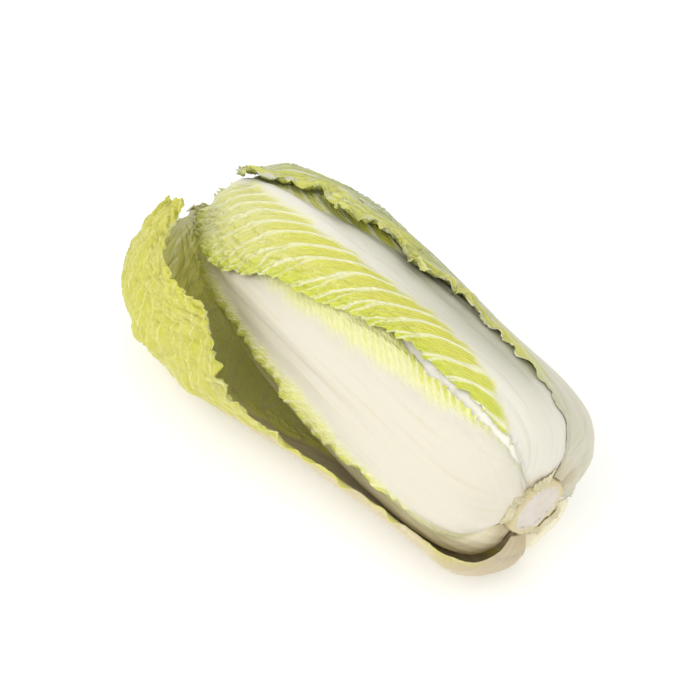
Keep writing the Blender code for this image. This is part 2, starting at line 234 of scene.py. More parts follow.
def inner_leaves():
    """The leaves of the heart and those round them, from the inside outwards."""
    leaves = []
    wrapped = HEART_LEAVES + INNER_LEAVES
    for place in range(wrapped):
        in_heart = place < HEART_LEAVES
        name = f"heart_leaf_{place + 1}" if in_heart else f"inner_leaf_{place - HEART_LEAVES + 1}"
        share = place / (wrapped - 1)
        mid = 12.0 - GOLDEN_TURN * (wrapped - place)
        widths = [(0, 40 + 10 * (1 - share)), (54, 62 + 26 * (1 - share)), (140, 78 + 32 * (1 - share)),
                  (240, 88 + 30 * (1 - share)), (318, 90 + 20 * (1 - share)), (HEAD_RUN, 120)]
        stations = [(run, mid, mid - width, mid + width) for run, width in widths]
        leaves.append(Leaf(name, stations, "heart" if in_heart else "inner", rows=110, columns=64,
                           clearance=1.3 if place < wrapped - 3 else 0.6, rib=0.35 + 0.5 * share, blade=1.0,
                           teeth=1.2, frill=1.5, blister=0.6, tip_cut=0.8, seed=40 + place))
    return leaves


def outer_leaves():
    """The leaves that show, from the inside outwards."""
    return [
        Leaf("white_ribbed_leaf",
             [(0, 12, -22, 46), (54, 12, -36, 60), (112, 12, -48, 72), (230, 10, -62, 82),
              (312, 8, -66, 82), (346, 8, -44, 60)],
             "inner", ribs=[(0, -20, 44), (80, -16, 42), (150, -10, 36), (346, 0, 20)],
             rows=200, columns=110, seed=3),
        Leaf("lower_leaf",
             [(0, 130, 98, 162), (54, 128, 82, 172), (112, 127, 76, 180), (230, 126, 66, 186),
              (312, 126, 64, 188), (344, 126, 80, 172)],
             "lower", ribs=[(0, 100, 160), (54, 108, 150), (112, 112, 142), (230, 120, 132), (344, 124, 128)],
             rows=250, columns=150, frill=3.4, seed=4),
        Leaf("front_leaf",
             [(0, 60, 24, 99), (24, 61, 14, 97), (50, 62, 13, 93), (80, 62, 14, 95), (112, 62, 15, 99),
              (150, 62, 9, 104), (180, 63, 4, 98), (215, 64, -2, 92), (262, 66, -6, 91), (300, 66, -10, 98),
              (330, 66, 4, 96), (346, 64, 24, 92)],
             "front", ribs=[(0, 25, 98), (24, 19, 98), (46, 21, 91), (73, 28, 87), (124, 36, 84), (174, 43, 79),
                            (239, 51, 76), (280, 56, 74), (346, 62, 68)],
             soft=10.0, spacing=5.6, sweep=1.5, reach=46.0, vein=0.3, blister=0.8, frill=3.6, teeth=2.6,
             lobes=1.8, coarser=1.7, band=8.0, seed=5,
             green=[(0, 0), (40, 0.4), (80, 0.6), (120, 0.65), (180, 0.75), (260, 0.6), (346, 0.5)]),
        Leaf("top_leaf",
             [(0, -25, -64, 17), (24, -28, -62, 15), (50, -28, -58, 15), (80, -28, -56, 15), (100, -26, -55, 17),
              (118, -24, -54, 19), (142, -21, -53, 23), (165, -19, -53, 28), (184, -17, -54, 35),
              (204, -13, -55, 38), (230, -10, -58, 46), (250, -8, -62, 57), (272, -5, -66, 67),
              (295, -3, -74, 74), (328, 0, -74, 80), (347, 2, -56, 64)],
             "top", ribs=[(0, -62, 15), (36, -56, 9), (48, -53, 5), (67, -51, -3), (93, -50, -9), (119, -48, -11),
                          (170, -36, -7), (224, -21, -1), (262, -10, 2), (300, -5, 2), (347, -1, 3)],
             spacing=17.0, sweep=2.3, reach=28.0, vein=0.6, blister=2.1, frill=4.6, wave=6.0, teeth=3.0,
             lobes=3.4, band=17.0, seed=6,
             # The shade list paints a greyer strip along the midrib's low side: partly the skin's own grey,
             # partly painted shade in the channel and under the right leaf.
             shade=[(-40, 0.3), (-31, 0.5), (-24, 0.9), (-15, 0.5), (-6, 0.0), (40, 0.0)],
             green=[(0, 0), (30, 0.3), (55, 0.8), (90, 1.0), (230, 0.95), (290, 0.65), (347, 0.5)]),
        Leaf("under_leaf",
             [(0, 194, 162, 230), (54, 192, 154, 240), (112, 191, 148, 246), (230, 190, 140, 252),
              (312, 190, 138, 252), (344, 190, 158, 230)],
             "lower", rows=200, columns=130, seed=7),
        *[Leaf(f"stub_of_trimmed_leaf_{place}",
               [(0, mid, mid - half, mid + half), (9, mid, mid - 0.8 * half, mid + 0.8 * half)],
               "stub", rows=34, columns=110, rib=0.1, blade=0.5, tip_cut=1.8, seed=60 + place)
          for place, mid, half in ((1, 200, 32), (2, 62, 32), (3, -22, 36))],
        Leaf("right_leaf",
             [(0, -84, -120, -40), (15, -84, -124, -35), (34, -85, -128, -30), (60, -86, -132, -28),
              (112, -88, -136, -26), (145, -88, -140, -25), (170, -88, -142, -18), (192, -87, -144, -23),
              (213, -86, -145, -24), (234, -85, -146, -14), (254, -84, -147, -18), (274, -82, -148, -13),
              (290, -80, -148, -5), (305, -78, -148, 8), (320, -74, -142, 10), (334, -70, -124, -20)],
             "right", ribs=[(0, -116, -42), (40, -114, -40), (90, -110, -46), (150, -104, -60),
                            (220, -98, -74), (280, -92, -80), (346, -82, -76)],
             lift=[(0, 0), (120, 0.6), (160, 1), (205, 3), (240, 5.5), (275, 7), (300, 5), (315, 2), (330, 0)],
             hug=50.0, spacing=44.0, sweep=7.0, reach=60.0, vein=0.7, blister=3.2, frill=5.5, wave=6.5,
             teeth=2.4, lobes=3.2, tip_cut=4.0, band=36.0, seed=8,
             green=[(0, 0), (50, 0.05), (100, 0.45), (150, 0.85), (230, 1.0), (344, 0.8)]),
    ]


class Levels:
    """The height of what has been laid so far, on a grid of runs and turns."""

    def __init__(self):
        self.runs = np.linspace(0.0, HEAD_RUN, LEVEL_RUNS)
        self.turns = np.arange(LEVEL_TURNS) * 360.0 / LEVEL_TURNS
        self.top = np.zeros((LEVEL_RUNS, LEVEL_TURNS))

    @staticmethod
    def over(grid, reaches, take):
        """A grid's greatest or mean value within so many cells along and round."""
        along, around = reaches
        rows = np.arange(len(grid))
        grid = take([grid[np.clip(rows + step, 0, len(grid) - 1)] for step in range(-along, along + 1)],
                    axis=0)
        return take([np.roll(grid, step, axis=1) for step in range(-around, around + 1)], axis=0)

    def smoothed(self):
        """The surface that a leaf takes over the steps below it, nowhere under them."""
        return self.over(self.over(self.top, LEVEL_REACH, np.max), LEVEL_REACH, np.mean)

    def squeezed(self, body):
        """What to multiply the levels by for an even head, and how high its surface then is."""
        base = np.clip(1.0 - self.runs / BASE_RUN, 0.0, 1.0)[:, None]
        stack = self.over(base * self.top + (1.0 - base) * body, SQUEEZE_REACH, np.mean)
        height = float(body[LEVEL_RUNS // 4:3 * LEVEL_RUNS // 4].mean())
        beside = np.clip(1.0 - self.runs / LOOSE_RUN, 0.0, 1.0)[:, None] * in_sector(self.turns, LOOSE_SECTOR)
        slim = in_sector(self.turns, SLIM_SECTOR)
        return (height - LOOSE_ROOM * beside - SLIM_ROOM * slim) / stack, height

    def read(self, grid, run, turn):
        """A grid's value between its points."""
        row = np.clip(np.asarray(run) / HEAD_RUN, 0.0, 1.0) * (LEVEL_RUNS - 1)
        column = (np.asarray(turn) % 360.0) * LEVEL_TURNS / 360.0
        r0 = np.minimum(row.astype(int), LEVEL_RUNS - 2)
        c0 = column.astype(int) % LEVEL_TURNS
        c1 = (c0 + 1) % LEVEL_TURNS
        fr, fc = row - r0, column - np.floor(column)
        return ((1 - fr) * ((1 - fc) * grid[r0, c0] + fc * grid[r0, c1])
                + fr * ((1 - fc) * grid[r0 + 1, c0] + fc * grid[r0 + 1, c1]))

    def lay(self, leaf):
        """Lays a leaf over the rest, and keeps where it lies and the levels of its two sides."""
        run = self.runs[:, None]
        mid, low, high = np.moveaxis(through(leaf.stations, self.runs), -1, 0)[:, :, None]
        turn = mid + apart(self.turns[None, :], mid)
        hugging = ease(high - turn, 0.0, leaf.hug) if leaf.hug else 1.0
        leaf.bed = self.over(self.top, (1, 1), np.max) + 0.5 * leaf.clearance
        leaf.under = self.smoothed() + leaf.clearance + through(leaf.lift, self.runs) * hugging
        leaf.covers = (turn > low) & (turn < high) & (run < leaf.stations[-1][0])
        leaf.top = leaf.under + thickness(leaf, run, turn)
        self.top = np.where(leaf.covers, np.maximum(self.top, leaf.top), self.top)


def thickness(leaf, run, turn):
    """A leaf's thickness in mm, which swells over its midrib."""
    low, high = np.moveaxis(through(leaf.ribs, run), -1, 0)
    radius = through(FAMILY, run)[..., 1]
    half = np.radians((high - low) / 2.0) * radius + 3.0
    across = np.radians(turn - (low + high) / 2.0) * radius
    fade = np.clip(np.asarray(run) / HEAD_RUN, 0.0, 1.0)
    height = leaf.rib * (RIB_HEIGHT[0] + (RIB_HEIGHT[1] - RIB_HEIGHT[0]) * fade)
    return leaf.blade + height * np.clip(1.0 - (across / half) ** 2, 0.0, 1.0) ** 1.5


@functools.lru_cache(maxsize=None)
def laid_head():
    """Every wrapped leaf laid on the ones inside it, with the room that each has above it."""
    levels = Levels()
    leaves = inner_leaves() + outer_leaves()
    for leaf in leaves:
        leaf.ribs = leaf.ribs or rib_edges(leaf.stations, leaf.rib)
        levels.lay(leaf)
        if leaf.name == "top_leaf":
            body = levels.top
    squeeze, height = levels.squeezed(body)
    ceiling = np.full_like(squeeze, 60.0)
    for leaf in reversed(leaves):
        leaf.floor = leaf.under * squeeze - height
        leaf.bed = leaf.bed * squeeze - height
        leaf.room = ceiling - (leaf.top * squeeze - height)
        ceiling = np.where(leaf.covers, np.minimum(ceiling, leaf.floor), ceiling)
    return levels, squeeze, {leaf.name: leaf for leaf in leaves}


# ---------------------------------------------------------------- a leaf's surface
# A length in mm, or an angle in degrees, over a number is noise with cells of that size. What is added to a
# leaf's seed tells its patterns apart, and what `side` is multiplied by keeps its two halves from matching.

def ragged(leaf, run, side):
    """How far a margin is cut back, in mm, by lobes and by the teeth on them."""
    lobes = 0.5 + 0.5 * noise(run / 12.0, 5.3 * side, leaf.seed + 10)
    teeth = np.abs(noise(run / 5.0, 3.7 * side, leaf.seed + 11))
    nicks = np.abs(noise(run / 2.2, 6.1 * side, leaf.seed + 12))
    return ease(run, 14.0, 40.0) * (leaf.lobes * lobes + leaf.teeth * (1.2 * teeth + 0.6 * nicks))


def toothed(leaf, run, low, high, radius):
    """The turns of a leaf's two margins, cut back by their lobes and teeth."""
    return (low + np.degrees(ragged(leaf, run, -1.0) / radius),
            high - np.degrees(ragged(leaf, run, 1.0) / radius))


def thinned(thick, margin):
    """A thickness that falls to under half along the margins."""
    return thick * (0.45 + 0.55 * ease(margin, 0.0, 4.0))


def veined(leaf, run, spread, side):
    """Where the side veins run: their phase, whole on a vein, and the distance between them in mm."""
    bent = run - leaf.sweep * leaf.reach * (1.0 - np.exp(-spread / leaf.reach))
    wander = 5.5 * noise(bent / 31.0, spread / 34.0 + 9.0 * side, leaf.seed + 20)
    wander = wander + 1.8 * noise(bent / 9.0, spread / 11.0 + 5.0 * side, leaf.seed + 25)
    spacing = leaf.spacing * np.where(side > 0, leaf.coarser, 1.0)
    wander = wander * np.minimum(spacing / 14.0, 1.0) * ease(spread, 0.0, 9.0)
    phase = (bent + wander) / spacing + np.where(side > 0, 0.5, 0.0)
    slope = leaf.sweep * np.exp(-spread / leaf.reach)
    return bent, phase, spacing / np.sqrt(1.0 + slope**2)


def surface_fields(leaf, run, turn, radius, margin):
    """What a leaf's relief and colour follow at each point: the midrib, the veins and the margin."""
    low, high = np.moveaxis(through(leaf.ribs, run), -1, 0)
    side = np.where(turn < (low + high) / 2.0, -1.0, 1.0)  # of the midrib
    within = np.radians(np.minimum(turn - low, high - turn)) * radius
    wobble = 1.6 * noise(run / 8.0, 4.0 * side, leaf.seed + 21)
    rib = ease(within + wobble, -leaf.soft, 2.5)
    spread = np.maximum(-within, 0.0)
    bent, phase, gap = veined(leaf, run, spread, side)
    width = 0.45 + 0.85 * np.exp(-spread / 24.0) * min(leaf.spacing / 10.0, 1.0)
    blade = 1.0 - rib
    raised = 0.0
    for parting, start, end, height in BRANCHES:
        off = (0.5 - np.abs((phase + parting * ease(spread, start, end)) % 1.0 - 0.5)) * gap / width
        raised = np.maximum(raised, height * np.exp(-off**2))
    veins = blade * leaf.vein * raised
    arc = np.radians(turn) * radius
    grooves = rib * (0.16 * noise(arc / 2.6, run / 160.0, leaf.seed + 22)
                     + 0.5 * noise(arc / 7.0, run / 240.0, leaf.seed + 26))
    rough = ease(spread, 2.0, 26.0) * ease(run, 60.0, 150.0)
    rough = rough * (1.0 + 1.2 * np.exp(-margin / 12.0))
    puffs = leaf.blister * rough * crumple(bent / 7.5, spread / 6.0 + 11.0 * side, leaf.seed + 23)
    edge = np.exp(-margin / 6.5) * blade * ease(run, 30.0, 90.0)
    frills = 0.5 + 0.5 * noise(run / leaf.wave, margin / 9.0 + 5.0 * side, leaf.seed + 24)
    waves = leaf.frill * edge * frills
    green = through(leaf.green, run)[..., 0] * blade
    # Painted shade, partly the skin's own grey: a greyer strip in the channel by the midrib and under the leaf
    # over it.
    shade = through(leaf.shade, turn)[..., 0] * ease(run, 30.0, 90.0)
    return {"bent": bent, "spread": spread, "sheet": puffs + waves, "relief": veins + grooves,
            "rib": rib, "phase": phase, "vein_pitch": gap / width, "green": green, "shade": shade,
            "margin": margin * 11.0 / leaf.band}


def shell(name, outer, inner, fields, look):
    """A closed leaf from the grids of points of its two sides, with its fields as attributes."""
    rows, columns = outer.shape[:2]
    count = rows * columns
    index = np.arange(count).reshape(rows, columns)
    quads = np.stack([index[:-1, :-1], index[1:, :-1], index[1:, 1:], index[:-1, 1:]], -1).reshape(-1, 4)
    loop = np.concatenate([index[:-1, 0], index[-1, :-1], index[:0:-1, -1], index[0, :0:-1]])
    after = np.roll(loop, -1)
    rim = np.stack([after, loop, loop + count, after + count], -1)
    faces = np.concatenate([quads, quads[:, ::-1] + count, rim])
    points = np.concatenate([outer.reshape(-1, 3), inner.reshape(-1, 3)])
    mesh = bpy.data.meshes.new(name)
    mesh.from_pydata(points.tolist(), [], faces.tolist())
    mesh.shade_smooth()
    both = {key: np.tile(np.broadcast_to(value, (rows, columns)).ravel(), 2)
            for key, value in fields.items()}
    both["inside"] = np.repeat([0.0, 1.0], count)
    for key in FIELDS:
        layer = mesh.attributes.new(key, "FLOAT", "POINT")
        layer.data.foreach_set("value", both[key].astype(np.float32))
    corners = faces.ravel()
    uv = np.stack([both["bent"], both["across"]], -1)[corners] / UV_MM
    mesh.uv_layers.new(name="along_veins").data.foreach_set("uv", uv.astype(np.float32).ravel())
    return finished(bpy.data.objects.new(name, mesh), leaf_material(look))


def finished(piece, material):
    """Puts a piece in the scene with its material, riding on the head."""
    bpy.context.scene.collection.objects.link(piece)
    piece.data.materials.clear()
    piece.data.materials.append(material)
    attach(piece, "root")
    return piece


def grid_steps(count, crowding):
    """Steps from 0 to 1, closer together at both ends by `crowding`."""
    steps = np.linspace(0.0, 1.0, count)
    return steps - crowding * np.sin(2.0 * np.pi * steps)


def on_table(points, thick):
    """Keeps points from sinking into the table."""
    points[..., 2] = np.maximum(points[..., 2], thick * MM)
    return points


def wrapped_leaf(leaf, settings):
    """A leaf of the head as a shell, on the level where it was laid."""
    levels, squeeze, _ = laid_head()
    length = leaf.stations[-1][0]
    steps = np.linspace(0.0, 1.0, leaf.rows)[:, None]
    run = length * steps
    mid, low, high = np.moveaxis(through(leaf.stations, run[:, 0]), -1, 0)[:, :, None]
    radius = np.maximum(through(FAMILY, run)[..., 1], 10.0)
    low, high = toothed(leaf, run, low, high, radius)
    turn = low + (high - low) * grid_steps(leaf.columns, 0.07)[None, :]
    run = run - steps**6 * leaf.tip_cut * (1.0 + noise(turn / 9.0, 0.0, leaf.seed + 13)
                                           + 0.6 * noise(turn / 3.5, 0.0, leaf.seed + 14))
    margin = np.minimum(np.radians(np.minimum(turn - low, high - turn)) * radius, length * (1.0 - steps))
    radius = np.broadcast_to(radius, turn.shape)
    fields = surface_fields(leaf, run, turn, radius, margin)
    room = np.maximum(levels.read(leaf.room, run, turn), 0.0)
    sheet = np.minimum(fields["sheet"] * settings.crinkle, ROOM_SHARE * room)
    relief = np.minimum(fields["relief"] * settings.vein_relief, ROOM_SHARE * room - sheet)
    thick = thinned(thickness(leaf, run, turn) * levels.read(squeeze, run, turn), margin)
    # The margins settle on the leaf below, and the whole leaf waves a little.
    floor = levels.read(leaf.floor, run, turn)
    floor = floor - np.exp(-margin / 5.0) * (floor - levels.read(leaf.bed, run, turn))
    floor = floor + sheet + 0.5 * noise(run / 55.0, turn / 25.0, leaf.seed + 30)
    inner = head_point(run, turn, floor)
    outer = head_point(run, turn, floor + thick + relief)
    fields["across"] = np.radians(turn - mid) * radius
    fields["base"] = 1.0 - ease(run, 2.0, 16.0)
    return shell("visual_" + leaf.name, on_table(outer, 0.0), on_table(inner, leaf.blade), fields,
                 leaf.look)


# The loose leaf has its own sections: distance from the cut face, centre across Y and over the axis, radius,
# and the turns of the midrib and of the near and far margins.
LOOSE_SECTIONS = [
    (2, 0, 0, 22.5, 150, 136, 168), (-1, 0, 0, 34, 144, 124, 170), (2, 0, 0, 48, 137, 110, 174),
    (10, 0, 0, 56, 132, 101, 180), (36, 0, 0, 61, 130, 101, 190), (70, -3, 0, 63.5, 129, 104, 176),
    (105, -9, 0, 65.5, 128, 99, 167), (150, -18, -1.5, 65.5, 130, 92, 173), (170, -24, -2.7, 65.5, 131, 83, 177),
    (190, -30, -4, 65.5, 131, 66, 182), (212, -36, -6, 65.5, 133, 43, 188), (240, -42, -8, 64.5, 134, 38, 194),
    (258, -44, -9.5, 63, 134, 32, 200), (275, -45, -11, 60.5, 134, 17, 206), (287, -45, -12, 57.5, 133, 2, 214),
    (303, -43, -14, 52, 132, -2, 225), (321, -38, -17, 40, 128, 4, 250), (331, -33, -18, 27, 120, 6, 275),
    (337, -28, -18, 16, 112, -5, 290), (340, -25, -18, 4, 105, -30, 305)]


def loose_outer_leaf(settings):
    """The outer leaf that has come away from the head and curls over like a hood at its tip."""
    table = np.array(LOOSE_SECTIONS, float)
    runs = chord_runs(table[:, [0, 3]])
    length = runs[-1]
    leaf = Leaf("loose_outer_leaf", [(0, 0, 0, 0)], "loose", rib=0.8, spacing=24.0, sweep=2.0, reach=30.0,
                vein=0.8, blister=3.4, frill=6.0, wave=9.0, teeth=1.8, lobes=4.0, seed=9,
                green=[(0, 0), (50, 0.2), (130, 0.6), (230, 0.85), (400, 0.85)])
    leaf.ribs = [(0, 136, 168), (20, 120, 168), (45, 106, 164), (90, 108, 156), (140, 107, 152), (180, 113, 148),
                 (240, 123, 144), (300, 128, 139), (400, 118, 124)]
    run = (length * np.linspace(0.0, 1.0, 300))[:, None]
    along, y, z, radius, mid, low, high = np.moveaxis(
        through(np.column_stack([runs, table]), run[:, 0]), -1, 0)[:, :, None]
    low, high = toothed(leaf, run, low, high, np.maximum(radius, 25.0))
    turn = low + (high - low) * grid_steps(230, 0.05)[None, :]
    margin = np.radians(np.minimum(turn - low, high - turn)) * radius
    run = np.broadcast_to(run, turn.shape)
    fields = surface_fields(leaf, run, turn, np.broadcast_to(radius, turn.shape), margin)
    folds = 4.5 * ease(run, 170.0, 260.0) * noise(run / 24.0, turn / 21.0, leaf.seed + 31)
    folds = folds + 3.0 * ease(run, 120.0, 220.0) * (crumple(run / 17.0, turn / 15.0, leaf.seed + 32) - 0.4)
    sheet = fields["sheet"] * settings.crinkle + folds - 3.0 * ease(run, 170.0, 260.0)
    thick = thinned(0.8 + leaf.rib * 5.0 * fields["rib"] * (1.0 - 0.8 * ease(run, 0.0, 300.0)), margin)
    inner = round_axis(along, y, radius + sheet, turn, z)
    relief = fields["relief"] * settings.vein_relief
    outer = round_axis(along, y, radius + sheet + thick + relief, turn, z)
    fields["across"] = np.radians(turn - mid) * radius
    # The base colour reaches 60 mm up this leaf: partly the flesh's own yellowing, partly painted shade and warm
    # bounce light under its base.
    fields["base"] = 1.0 - ease(run, 2.0, 60.0)
    return shell("visual_loose_outer_leaf", on_table(outer, 0.0), on_table(inner, 1.0), fields, leaf.look)


# ---------------------------------------------------------------- the cut stem

def stem_body(lip):
    """The stem, with its slightly uneven cut face, the raised lip round it and the point in the heart."""
    # Distance behind the cut face, and radius, from the middle of the face over the lip to the point inside.
    profile = [(0.8, 2.0), (0.7, 6.0), (0.6, 10.0), (0.5, 13.0), (0.3, 14.8), (-0.4 - lip, 16.0),
               (-0.7 - lip, 17.2), (-0.6 - lip, 18.3), (0.1, 19.3), (1.4, 20.0), (4.0, 20.3), (12.0, 19.4),
               (30.0, 17.0), (46.0, 13.0), (55.0, 7.0), (57.6, 2.0)]
    stations = [(place, *point) for place, point in enumerate(profile)]
    steps = np.linspace(0.0, len(profile) - 1.0, 130)
    along, radius = np.moveaxis(through(stations, steps), -1, 0)[:, :, None]
    turn = np.linspace(0.0, 360.0, 220, endpoint=False)[None, :]
    x, y = radius * np.cos(np.radians(turn)), radius * np.sin(np.radians(turn))
    on_face = 1.0 - ease(along, 1.5, 6.0)
    on_lip = on_face * ease(radius, 14.0, 16.0)
    along = along + on_face * (0.4 * noise(x / 7.0, y / 7.0, 90) + 0.06 * noise(x / 1.4, y / 1.4, 91))
    along = along + on_lip * (0.6 * noise(x / 2.6, y / 2.6, 92) + 0.3 * noise(x / 0.9, y / 0.9, 93))
    radius = radius + on_lip * 0.6 * noise(turn / 9.0, 0.0, 94)
    radius, turn = np.broadcast_arrays(radius, turn)
    rings = round_axis(along, 0.0, radius, turn)
    rows, columns = rings.shape[:2]
    poles = np.stack([rings[0].mean(0), rings[-1].mean(0)])
    points = np.concatenate([rings.reshape(-1, 3), poles])
    index = np.arange(rows * columns).reshape(rows, columns)
    after = np.roll(index, -1, axis=1)
    quads = np.stack([index[:-1], after[:-1], after[1:], index[1:]], -1).reshape(-1, 4)
    front = [(rows * columns, int(b), int(a)) for a, b in zip(index[0], after[0])]
    back = [(rows * columns + 1, int(a), int(b)) for a, b in zip(index[-1], after[-1])]
    mesh = bpy.data.meshes.new("visual_cut_stem")
    mesh.from_pydata(points.tolist(), [], quads.tolist() + front + back)
    mesh.shade_smooth()
    return bpy.data.objects.new("visual_cut_stem", mesh)


def vessel_tree(material):
    """A ring of the small dark ends of the stem's vessels, on the cut face."""
    tree = bpy.data.node_groups.new("vessel_ends", "GeometryNodeTree")
    sockets = {}
    for name, kind, default in (("Count", "Int", 46), ("Ring radius", "Float", 0.015),
                                ("Vessel radius", "Float", 0.0004), ("Scatter", "Float", 0.0012)):
        socket = tree.interface.new_socket(name, in_out="INPUT", socket_type="NodeSocket" + kind)
        socket.default_value = default
        sockets[name] = socket.identifier
    tree.interface.new_socket("Mesh", in_out="OUTPUT", socket_type="NodeSocketGeometry")
    inputs = node(tree, "NodeGroupInput").outputs
    ring = node(tree, "GeometryNodeMeshCircle",
                {"Vertices": inputs["Count"], "Radius": inputs["Ring radius"]})
    least = node(tree, "ShaderNodeMath", {0: inputs["Scatter"], 1: -1.0}, operation="MULTIPLY")
    corner = node(tree, "ShaderNodeCombineXYZ", {"X": inputs["Scatter"], "Y": inputs["Scatter"]})
    other = node(tree, "ShaderNodeCombineXYZ", {"X": least, "Y": least})
    strewn = node(tree, "FunctionNodeRandomValue", {0: other, 1: corner, "Seed": 5}, data_type="FLOAT_VECTOR")
    moved = node(tree, "GeometryNodeSetPosition", {"Geometry": ring, "Offset": strewn.outputs[0]})
    end = node(tree, "GeometryNodeMeshUVSphere", {"Segments": 8, "Rings": 5, "Radius": inputs["Vessel radius"]})
    sizes = node(tree, "FunctionNodeRandomValue", {0: (0.6, 0.6, 0.5), 1: (1.5, 1.5, 0.9), "Seed": 9},
                 data_type="FLOAT_VECTOR")
    copies = node(tree, "GeometryNodeInstanceOnPoints",
                  {"Points": moved, "Instance": end, "Scale": sizes.outputs[0]})
    real = node(tree, "GeometryNodeRealizeInstances", {"Geometry": copies})
    painted = node(tree, "GeometryNodeSetMaterial", {"Geometry": real, "Material": material})
    node(tree, "NodeGroupOutput", {0: painted})
    return tree, sockets


def vessel_ends(settings):
    """The ring of vessel ends as a plain mesh, on the cut face."""
    material = vessel_material(settings)
    tree, sockets = vessel_tree(material)
    carrier = bpy.data.objects.new("vessel_carrier", bpy.data.meshes.new("vessel_carrier"))
    bpy.context.scene.collection.objects.link(carrier)
    grown = carrier.modifiers.new("vessels", "NODES")
    grown.node_group = tree
    grown[sockets["Count"]] = settings.vessels
    grown[sockets["Ring radius"]] = settings.vessel_ring
    evaluated = carrier.evaluated_get(bpy.context.evaluated_depsgraph_get())
    mesh = bpy.data.meshes.new_from_object(evaluated)
    mesh.name = "visual_vessel_ends"
    carrier.modifiers.clear()
    bpy.data.objects.remove(carrier)
    upright = Matrix.Rotation(math.pi / 2, 4, "Y")
    mesh.transform(Matrix.Translation((CUT_X - VESSEL_DEPTH, AXIS_Y, AXIS_Z)) @ upright)
    return finished(bpy.data.objects.new("visual_vessel_ends", mesh), material)


# ---------------------------------------------------------------- materials

def linear(hex_colour):
    """An sRGB hex colour as the linear red, green and blue that Blender takes."""
    parts = [int(hex_colour[place:place + 2], 16) / 255.0 for place in (1, 3, 5)]
    return [part / 12.92 if part <= 0.04045 else ((part + 0.055) / 1.055) ** 2.4 for part in parts]


def node(tree, kind, inputs=None, **settings):
    """Adds a node with its settings, and sets its inputs or links them, from a socket or from a node."""
    made = tree.nodes.new(kind)
    for key, value in settings.items():
        setattr(made, key, value)
    for key, value in (inputs or {}).items():
        if isinstance(value, bpy.types.Node):
            value = next(output for output in value.outputs if output.enabled)  # the others are out of use
        if isinstance(value, bpy.types.NodeSocket):
            tree.links.new(value, made.inputs[key])
        else:
            made.inputs[key].default_value = value
    return made


def blank_material(name):
    """A new material, and its tree without any nodes."""
    made = bpy.data.materials.new(name)
    made.use_nodes = True
    made.node_tree.nodes.clear()
    return made, made.node_tree


def leaf_veins(tree, flat, blade, fields):
    """How much of a vein each point of a leaf is, and how far it is from the finest net."""
    # Side veins lie at whole phases, and each of their branches parts from them further out.
    veins = 0.0
    for parting, start, end, height in BRANCHES:
        parted = node(tree, "ShaderNodeMapRange", {0: fields["spread"], 1: start, 2: end, 3: 0.0, 4: parting},
                      interpolation_type="SMOOTHSTEP")
        moved = node(tree, "ShaderNodeMath", {0: fields["phase"], 1: parted}, operation="ADD")
        off = node(tree, "ShaderNodeMath", {0: moved, 1: 0.5}, operation="PINGPONG")
        widths = node(tree, "ShaderNodeMath", {0: off, 1: fields["vein_pitch"]}, operation="MULTIPLY")
        line = node(tree, "ShaderNodeMapRange", {0: widths, 1: 1.7, 2: 0.3, 3: 0.0, 4: height},
                    interpolation_type="SMOOTHSTEP")
        veins = node(tree, "ShaderNodeMath", {0: line, 1: veins}, operation="MAXIMUM")

    # The net between them has pale meshes of 8 mm, with finer and fainter ones of 3.2 mm inside.
    strayed = node(tree, "ShaderNodeTexNoise", {"Vector": flat, "Scale": UV_MM / 9.0, "Detail": 1.0})
    placed = node(tree, "ShaderNodeVectorMath", {0: strayed.outputs["Color"], 1: (0.03, 0.03, 0.0), 2: flat},
                  operation="MULTIPLY_ADD")
    net = node(tree, "ShaderNodeTexVoronoi", {"Vector": placed, "Scale": UV_MM / 8.0},
               feature="DISTANCE_TO_EDGE", voronoi_dimensions="2D")
    fine_net = node(tree, "ShaderNodeTexVoronoi", {"Vector": placed, "Scale": UV_MM / 3.2},
                    feature="DISTANCE_TO_EDGE", voronoi_dimensions="2D")
    coarse = node(tree, "ShaderNodeMapRange", {0: net, 1: 0.07, 2: 0.0, 3: 0.0, 4: 0.36},
                  interpolation_type="SMOOTHSTEP")
    fine = node(tree, "ShaderNodeMapRange", {0: fine_net, 1: 0.1, 2: 0.0, 3: 0.0, 4: 0.1},
                interpolation_type="SMOOTHSTEP")
    crossing = node(tree, "ShaderNodeMath", {0: coarse, 1: fine}, operation="MAXIMUM")
    further_out = node(tree, "ShaderNodeMapRange", {0: fields["spread"], 1: 5.0, 2: 30.0},
                       interpolation_type="SMOOTHSTEP")
    crossing = node(tree, "ShaderNodeMath", {0: crossing, 1: further_out}, operation="MULTIPLY")
    veins = node(tree, "ShaderNodeMath", {0: veins, 1: crossing}, operation="MAXIMUM")
    return node(tree, "ShaderNodeMath", {0: veins, 1: blade}, operation="MULTIPLY"), fine_net


